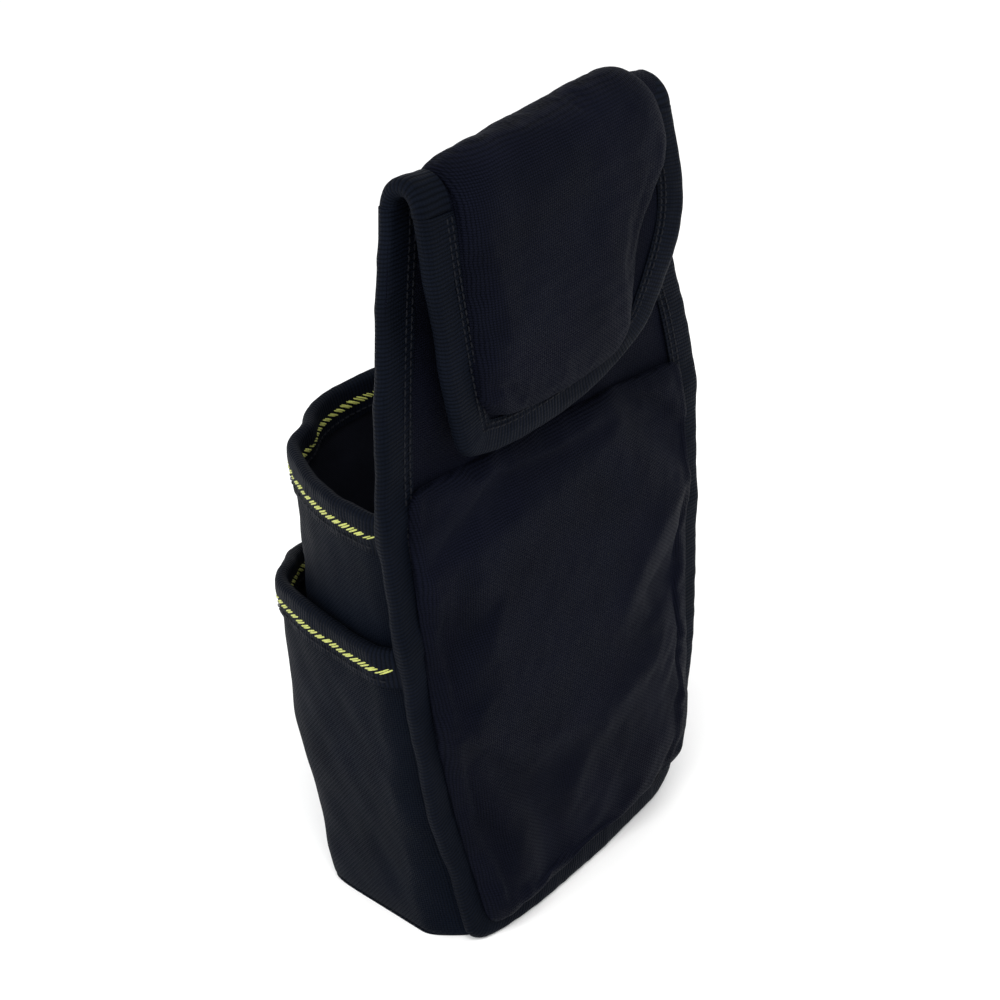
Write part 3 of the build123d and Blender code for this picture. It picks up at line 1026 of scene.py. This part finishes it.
    def loop_patch(self) -> None:
        """Sew the loop patch to the panel's wearer side."""
        low, high = (np.array(corner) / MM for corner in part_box("loop_patch"))
        share, up = np.linspace(0, 1, 40)[:, None], np.linspace(0, 1, 24)[None, :]
        x = low[0] + share * (high[0] - low[0])
        z = low[2] + up * (high[2] - low[2])
        edge = ease(np.minimum(share, 1 - share) * 20) * ease(np.minimum(up, 1 - up) * 9)
        y = low[1] + 0.9 + (high[1] - low[1] - 0.9) * edge
        outer = np.stack(np.broadcast_arrays(x, y, z), -1)
        inner = np.stack(np.broadcast_arrays(x, low[1] + 0 * y, z), -1)
        dress(shell("loop_patch_pile", outer, inner), self.finishes.loop, "loop", "pouch", "loop_patch")

    def build(self) -> None:
        """Build the whole back panel."""
        self.plies()
        self.pad()
        self.edge_tape()
        self.loop_patch()


@dataclass
class Pocket:
    """One open pocket: wall fabric, lining, rim tape, woven stripes and stitching. Millimetres.

    A station is a height, a half-width, a depth and a squareness: at that height the wall's plan is the
    curve |x/w|^n + |y/d|^n = 1. Each pocket closes in to the back panel over its last few millimetres.
    A dent is an angle, a width in degrees, a depth and how far it reaches below the rim.
    """

    form: PouchForm
    finishes: Finishes
    name: str
    stations: tuple[tuple[float, float, float, float], ...]
    rim: Table
    attach_gap: Table
    foot: float
    seed: int
    dents: tuple[tuple[float, float, float, float], ...] = ()
    wall: float = 2.4
    reach: float = 13.0
    around: int = 190
    rows: int = 64

    def station(self, z: np.ndarray) -> tuple[np.ndarray, np.ndarray, np.ndarray]:
        """Half-width, depth and squareness at heights, eased between the stations."""
        table = np.array(self.stations)
        return tuple(lookup(tuple(zip(table[:, 0], table[:, k])), z, 9.0) for k in (1, 2, 3))

    def raw(self, angle: np.ndarray, z: np.ndarray) -> np.ndarray:
        """Points of the wall's outside at angles round from the wearer's left and heights."""
        angle, z = np.broadcast_arrays(angle, z)
        width, depth, power = self.station(z)
        c, s = np.cos(angle), np.sin(angle)
        radius = (np.abs(c / width) ** power + np.abs(s / depth) ** power) ** (-1 / power)
        x, y = radius * c, radius * s
        centre, half = self.form.halves(z)
        near = np.clip(1 - y / self.reach, 0, 1) ** 2
        side = centre + np.sign(c) * (half - lookup(self.attach_gap, z, 6.0))
        x = x * (1 - near) + side * near
        foot = np.clip(1 - z / 4.0, 0, 1)
        inset = 2.6 * (1 - np.sqrt(1 - foot**2))
        x, y = x * (1 - inset / 66.0), y * (1 - inset / 64.0)
        back = self.form.front + self.form.bow(x, z) * np.clip(1 - y / 75.0, 0, 1)
        return np.stack([x, back - y, z], -1)

    def angles(self) -> np.ndarray:
        """Angles that step evenly along the wall at two thirds of its height."""
        fine = np.linspace(1e-4, math.pi - 1e-4, 1500)
        z = self.stations[-1][0] * 0.66
        along = lengths(self.raw(fine, np.full(1500, z)))
        return np.interp(np.linspace(0, along[-1], self.around), along, fine)

    def surface(self, low: float) -> np.ndarray:
        """Grid of the wall's outside from its foot to its rim, with soft swells between its seams."""
        angle = self.angles()[:, None]
        up = np.linspace(0, 1, self.rows)[None, :]
        rim = lookup(self.rim, np.degrees(angle), 8.0)
        z = low + up * (rim - low)
        points = self.raw(angle, z)
        normal = grid_normals(points)
        normal *= np.sign((normal * (points - [0, self.form.front - 30, 90]))[..., :2].sum(-1, keepdims=True))
        turn = np.degrees(angle) * 1.4
        swell = 0.9 * ripple(turn, z, 62.0, self.seed) + 0.3 * ripple(turn, z, 17.0, self.seed + 1)
        fade = smooth(up * 8) * smooth((1 - up) * 7) * smooth(np.sin(angle) * 5)
        push = swell * fade
        for where, width, depth, below in self.dents:
            push = push - depth * bell((np.degrees(angle) - where) / width) * bell((rim - z) / below)
        return points + normal * push[..., None]

    def shells(self) -> tuple[np.ndarray, np.ndarray]:
        """The wall's outside grid and its outward normals."""
        outer = self.surface(self.foot)
        normal = grid_normals(outer)
        middle = normal[self.around // 2, self.rows // 2]
        if middle[1] > 0:
            normal = -normal
        return outer, normal

    def build(self) -> None:
        """Build the wall, its lining, its rim tape, its stripes and its stitches."""
        outer, normal = self.shells()
        cover = shell(f"{self.name}_wall_fabric", outer, outer - PLY * normal)
        dress(cover, self.finishes.wall, "cover_fabric", "pouch", f"{self.name}_wall_cover")
        inner = shell(f"{self.name}_wall_inside", outer - PLY * normal, outer - self.wall * normal)
        dress(inner, self.finishes.lining, "lining", "pouch", f"{self.name}_wall_lining")
        line = self.rim_line(outer, normal)
        tape = FoldedTape(cloth=self.wall, seed=self.seed + 5, puff=0.4)
        obj = tape.build(f"{self.name}_rim_tape", line)
        dress(obj, self.finishes.tape, "tape", "pouch", f"{self.name}_rim_binding")
        for side, facing in (("outer", 1.0), ("inner", -1.0)):
            turned = EdgeLine(line.place, line.into, line.facing * facing)
            self.stripe(turned, tape, side)
            row = StitchRow().build(f"{self.name}_rim_stitches_{side}", turned, 12.3, tape.half() + 0.2, 6.0)
            dress(row, self.finishes.thread, "tape", "pouch")

    def rim_line(self, outer: np.ndarray, normal: np.ndarray) -> EdgeLine:
        """The rim's edge: the middle of the wall at its top, with the way down and out."""
        top = outer[:, -1] - normal[:, -1] * self.wall / 2
        down = unit(outer[:, -8] - outer[:, -1])
        out = normal[:, -6].copy()
        out = unit(out - (out * down).sum(-1, keepdims=True) * down)
        return EdgeLine(top - down * 1.0, down, out)

    def stripe(self, line: EdgeLine, tape: FoldedTape, side: str) -> None:
        """Weave the yellow stripe: long slanting dashes of two floats each, side by side."""
        pitch, floats, gap = 4.1, 2, 1.4
        trim = 6.0
        count = int((line.length - 2 * trim) / pitch)
        start = trim + np.arange(count)[:, None] * pitch
        middle = (start + np.arange(floats)[None, :] * gap).reshape(-1)
        chance = np.random.default_rng(self.seed + 9)
        middle = middle + chance.normal(0, 0.05, len(middle))
        depth = np.full(len(middle), STRIPE_DEPTH) + chance.normal(0, 0.07, len(middle))
        thread = StitchRow(length=6.2, thread=0.33, steps=9)
        swell = tape.puff * math.sin(math.pi * STRIPE_DEPTH / (tape.width - STITCHED_MARGIN))
        obj = thread.lay(
            f"{self.name}_stripe_{side}", line, middle, depth, tape.half() + swell, math.radians(29), 0.25
        )
        dress(obj, self.finishes.stripe, "stripe", "pouch", f"{self.name}_rim_stripe_{side}")


@dataclass
class Base:
    """The base: outer fabric, board and lining, each filling the walls' plan."""

    form: PouchForm
    finishes: Finishes
    outer: Pocket
    inner: Pocket

    def plate(self, name: str, pocket: Pocket, inset: float, low: float, high: float) -> Obj:
        """A flat piece whose rings shrink from the wall's plan to its middle."""
        angle = pocket.angles()
        rim = pocket.raw(angle, np.full(len(angle), 6.0))[:, :2]
        seam = np.linspace(rim[-1], rim[0], 60)[1:-1]
        seam[:, 1] = self.form.front + self.form.bow(seam[:, 0], np.zeros(58))
        loop = np.concatenate([rim, seam, rim[:1]])
        loop = loop * (1 - inset / np.linalg.norm(loop, axis=1, keepdims=True))
        flat = loop[:, None] * np.linspace(1, 0.02, 26)[None, :, None]
        faces = [np.concatenate([flat, np.full((*flat.shape[:2], 1), z)], -1) for z in (low, high)]
        return shell(name, *faces)

    def build(self) -> None:
        """Build the three plates."""
        f = self.finishes
        for name, pocket, inset, low, high, material, slot, node in (
            ("base_fabric", self.outer, 1.0, 0.1, 1.2, f.wall, "cover_fabric", "base_panel"),
            ("base_stiffener", self.inner, 4.0, 1.3, 3.1, f.board, "board", "base_board"),
            ("base_floor", self.inner, 2.8, 3.2, 4.4, f.lining, "lining", "base_lining"),
        ):
            dress(self.plate(name, pocket, inset, low, high), material, slot, "pouch", node)


@dataclass
class BeltFlap:
    """The belt flap: fold at the ridge, plies, padded face, tape, hook patch and stitching."""

    form: PouchForm
    finishes: Finishes
    flap: FlapForm
    tape_width: float = 13.2
    rise: float = 8.6
    pad_left: Table = ((-35, 47.5), (0, 47.2), (12, 46.7), (44, 44.6), (74, 41.8), (90, 39))
    pad_right: Table = (
        (-35, 43), (-15, 41), (-5, 44), (5, 47.5), (14, 48), (24, 43), (33, 37.5), (43, 34), (58, 31.5),
        (73, 29.5), (90, 27),
    )
    pad_bottom: Table = (
        (-1.05, 75), (-1, 76.5), (-0.9, 79), (-0.7, 81.5), (-0.3, 83), (0.2, 82.5), (0.7, 80), (0.92, 77.5),
        (1.05, 75),
    )

    def fold(self) -> None:
        """Carry the panel's plies over the ridge, bending across the hinge."""
        f = self.form
        share = np.linspace(-1, 1, 91)[None, :] * (1 - 1.2 / 62)
        angle = np.linspace(math.pi, -f.tilt, 44)[:, None]
        for kind, low, high, material, _ in plies(f, self.finishes):
            obj = shell(f"ridge_{kind}", f.fold(share, angle, high), f.fold(share, angle, low))
            dress(obj, material, "cover_fabric" if kind == "cover" else "lining", "")
            self.bend(obj)

    def bend(self, obj: Obj) -> None:
        """Bake a piece's transform into its mesh."""
        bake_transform(obj)

    def plies(self) -> None:
        """Lay the flap's lining, core and the flat rim of its cover."""
        share = np.linspace(-1, 1, 61)[None, :] * (1 - 2.2 / 50)
        down = np.linspace(0, 1, 60)[:, None] * (self.flap.drop(share) - 2.4)
        for kind, low, high, material, slot in plies(self.form, self.finishes):
            grids = [self.flap.point(share, down, lift) for lift in (high, low)]
            dress(shell(f"flap_{kind}_sheet", *grids), material, slot, "flap", f"flap_{kind}")

    def over(self, along: np.ndarray, share: np.ndarray, lift: np.ndarray) -> np.ndarray:
        """Points of the fold and the flap together: ``along`` is below zero on the fold, from 0 down the flap."""
        f = self.form
        turn = np.clip(-along / (f.fold_radius + f.stack / 2), 0, math.pi) - f.tilt
        bent = f.fold(share, turn, lift)
        flat = self.flap.point(share, np.maximum(along, 0), lift)
        return np.where((along < 0)[..., None], bent, flat)

    def pad(self) -> None:
        """Make the padded face, one pillow from behind the ridge down to the tape along the bottom.

        Its filled height grows from nothing behind the ridge, by a smooth step, to its full rise at the top.
        """
        cols, rows = 64, 76
        start = -(self.form.fold_radius + self.form.stack / 2) * (math.pi * 0.98)
        share = np.linspace(-1, 1, cols)[None, :]
        up = np.linspace(0, 1, rows)[:, None]
        low = lookup(self.pad_bottom, share, 0.08)
        along = start + up * (low - start)
        down = np.maximum(along, 0)
        pad_centre, pad_half = spans(self.pad_left, self.pad_right, along)
        tuck = 3.0 * smooth((down - low + 9) / 9)
        x = pad_centre + share * (pad_half - tuck)
        centre, half = spans(self.flap.left, self.flap.right, down)
        edge_side = (1 - np.abs(share)) * pad_half
        ridge = bell((along + 14) / 15)
        edge = ease(edge_side / (8.0 + 11.0 * ridge)) * ease((low - along) / 8.0)
        fall = smooth((along - start) / 17.0)
        base = self.form.stack / 2 + 0.1
        lift = base + (self.rise - 2.0 + 1.0 * bell((along + 6) / 14)) * edge * fall
        share = (x - centre) / half
        front = self.over(along, share, lift)
        behind = self.over(along, share, base - PAD_BACKING + 0 * lift)
        obj = shell("flap_pad_cover", front, behind)
        fixed = (edge * fall < 0.3) | (along < start + 5)
        held = np.concatenate([fixed, np.ones_like(edge, bool)], axis=1).reshape(-1)
        inflate(obj, held.astype(float), cap=2.4, pressure=5.0, growth=0.012)
        at = places(obj)
        x, y, z = at.T
        raised = np.concatenate([edge * fall, edge[:, ::-1] * 0], axis=1).reshape(-1)
        away, above = y - self.form.fold_y, z - self.form.fold_z(x)
        out = np.stack([0 * x, np.clip(away, 0, 12), np.clip(above, 0, 12)], -1)
        at += unit(out) * (raised * (0.45 * ripple(x, z, 36.0, 61) + 0.18 * ripple(x, z, 11.0, 62)))[:, None]
        move_to(obj, at)
        finish_soft(obj)
        dress(obj, self.finishes.pad, "cover_fabric", "", "flap_pad")
        self.bend(obj)

    def edge_tapes(self) -> None:
        """Fold tape round the flap's edge, and round both ends of the fold."""
        line = self.flap.edge_line()
        tape = FoldedTape(self.tape_width, cloth=4.2, thick=0.8, puff=0.4, seed=47)
        dress(tape.build("flap_edge_tape", line), self.finishes.tape, "tape", "flap", "flap_binding")
        stitch("flap", line, tape, (10.0, 12.0), self.finishes, "flap")
        f = self.form
        angle = np.linspace(math.pi, -f.tilt, 60)
        for side, name in ((1.0, "ridge_tape_left"), (-1.0, "ridge_tape_right")):
            place = f.fold(side, angle, 0.0)
            into = np.tile([-side, 0.0, 0.0], (len(angle), 1))
            facing = np.stack([0 * angle, np.cos(angle), np.sin(angle)], -1)
            tape = FoldedTape(self.tape_width, cloth=4.2, thick=0.8, puff=0.35, seed=53, step=0.9)
            obj = tape.build(name, EdgeLine(place, into, facing))
            dress(obj, self.finishes.tape, "tape", "")
            self.bend(obj)

    def hook_patch(self) -> None:
        """Sew the hook patch to the flap's belt side."""
        share, up = np.linspace(-1, 1, 44)[:, None], np.linspace(0, 1, 24)[None, :]
        down = 70.0 - up * 26
        lift = -self.form.stack / 2
        width = 28.0 / lookup(self.flap.left, down)
        edge = ease((1 - np.abs(share)) * 12) * ease(np.minimum(up, 1 - up) * 9)
        outer = self.flap.point(share * width, down, lift - 0.9 - 1.7 * edge)
        inner = self.flap.point(share * width, down, lift + 0.0 * edge)
        dress(shell("hook_patch_pile", outer, inner), self.finishes.hook, "hook", "flap", "hook_patch")

    def build(self) -> None:
        """Build the whole flap."""
        self.plies()
        self.pad()
        self.fold()
        self.edge_tapes()
        self.hook_patch()


@dataclass
class Studio:
    """Pale floor, soft light and the camera."""

    azimuth: float = 137.9
    elevation: float = 28.5
    roll: float = -4.5
    lens: float = 86.4
    target: tuple[float, float, float] = (0.0021, 0.0126, 0.1526)
    distance: float = 0.8687

    def camera(self) -> None:
        """Place the camera: looking at the target from an azimuth and an elevation, rolled a little."""
        az, el, roll = (math.radians(v) for v in (self.azimuth, self.elevation, self.roll))
        back = Vector((math.sin(az) * math.cos(el), -math.cos(az) * math.cos(el), math.sin(el)))
        right = (-back).cross(Vector((0, 0, 1))).normalized()
        up = right.cross(-back)
        across = right * math.cos(roll) + up * math.sin(roll)
        upward = -right * math.sin(roll) + up * math.cos(roll)
        data = bpy.data.cameras.new("camera")
        data.lens, data.sensor_width = self.lens, 36.0
        data.clip_start, data.clip_end = 0.01, 50
        camera = bpy.data.objects.new("camera", data)
        turn = Matrix((across, upward, back)).transposed().to_4x4()
        camera.matrix_world = Matrix.Translation(Vector(self.target) + back * self.distance) @ turn
        bpy.context.scene.collection.objects.link(camera)
        bpy.context.scene.camera = camera

    def floor(self) -> None:
        """Lay the plain floor: one wide sheet, flat."""
        side = np.linspace(-9000, 9000, 7)
        x, y = np.meshgrid(side, side, indexing="ij")
        top = np.stack([x, y, np.zeros_like(x)], -1)
        obj = shell("floor", top, top - [0, 0, 20])
        n = Nodes("pale_floor")
        n.shader.inputs["Base Color"].default_value = (0.93, 0.93, 0.93, 1)
        n.shade(0.9, 0.1, 0.0, 0.5, (1, 1, 1))
        obj.data.materials.append(n.material)

    def lights(self) -> None:
        """Hang three large soft lamps and a pale surround."""
        for name, place, size, power, tone in (
            ("key", (0.9, 1.0, 1.9), 1.6, 34.0, (1.0, 0.99, 0.97)),
            ("side", (1.7, -0.3, 0.9), 1.3, 16.0, (0.93, 0.96, 1.0)),
            ("rim", (-1.2, 1.4, 1.0), 1.2, 12.0, (0.95, 0.97, 1.0)),
        ):
            data = bpy.data.lights.new(name, "AREA")
            data.shape, data.size, data.energy, data.color = "DISK", size, power, tone
            lamp = bpy.data.objects.new(name, data)
            lamp.location = place
            aim = Vector((0, 0, 0.15)) - Vector(place)
            lamp.rotation_euler = aim.to_track_quat("-Z", "Y").to_euler()
            bpy.context.scene.collection.objects.link(lamp)
        world = bpy.data.worlds.new("surround")
        world.use_nodes = True
        world.node_tree.nodes["Background"].inputs[0].default_value = (1, 1, 1, 1)
        world.node_tree.nodes["Background"].inputs[1].default_value = 0.85
        bpy.context.scene.world = world
        bpy.context.scene.view_settings.view_transform = "Standard"

    def build(self) -> None:
        """Build the stage."""
        self.floor()
        self.lights()
        self.camera()


def main() -> None:
    """Build the pouch from its base up, then the stage."""
    form, finishes = PouchForm(), Finishes()
    upper = Pocket(
        form, finishes, "upper",
        stations=(
            (0, 64, 61.5, 14), (30, 65.5, 67, 7), (60, 67.5, 72, 5.2), (130, 71, 83.5, 3.3),
            (182, 74, 91, 2.35), (200, 74.5, 92, 2.35),
        ),
        rim=((0, 181), (45, 181.5), (90, 182), (135, 182), (180, 182)),
        attach_gap=((0, 6.6), (60, 7.0), (130, 8.0), (182, 4.6)),
        foot=1.2, seed=101, dents=((61, 5, 2.2, 24), (51, 6, -1.4, 20), (76, 9, -1.2, 20), (20, 9, -0.8, 18)),
    )
    lower = Pocket(
        form, finishes, "lower",
        stations=(
            (0, 67.6, 64.2, 18), (20, 69, 70.5, 9.5), (45, 70.8, 78, 6.6), (75, 73, 87, 4.9),
            (105, 75.2, 93.5, 3.7), (130, 76.6, 97, 3.1), (150, 77, 98, 3.1),
        ),
        rim=(
            (0, 128), (30, 129.5), (45, 131), (60, 127), (75, 122), (90, 121), (120, 124), (150, 128),
            (180, 129),
        ),
        attach_gap=((0, 3.5), (130, 3.6)),
        foot=0.4, seed=201, rows=52, dents=((56, 5, 1.6, 18), (47, 5, -1.2, 16), (24, 8, 0.9, 14)),
    )
    Base(form, finishes, lower, upper).build()
    upper.build()
    lower.build()
    BackPanel(form, finishes).build()
    BeltFlap(form, finishes, FlapForm(form)).build()
    Studio().build()


if __name__ == "__main__":
    logging.basicConfig(level=logging.INFO, format="%(message)s")
    main()
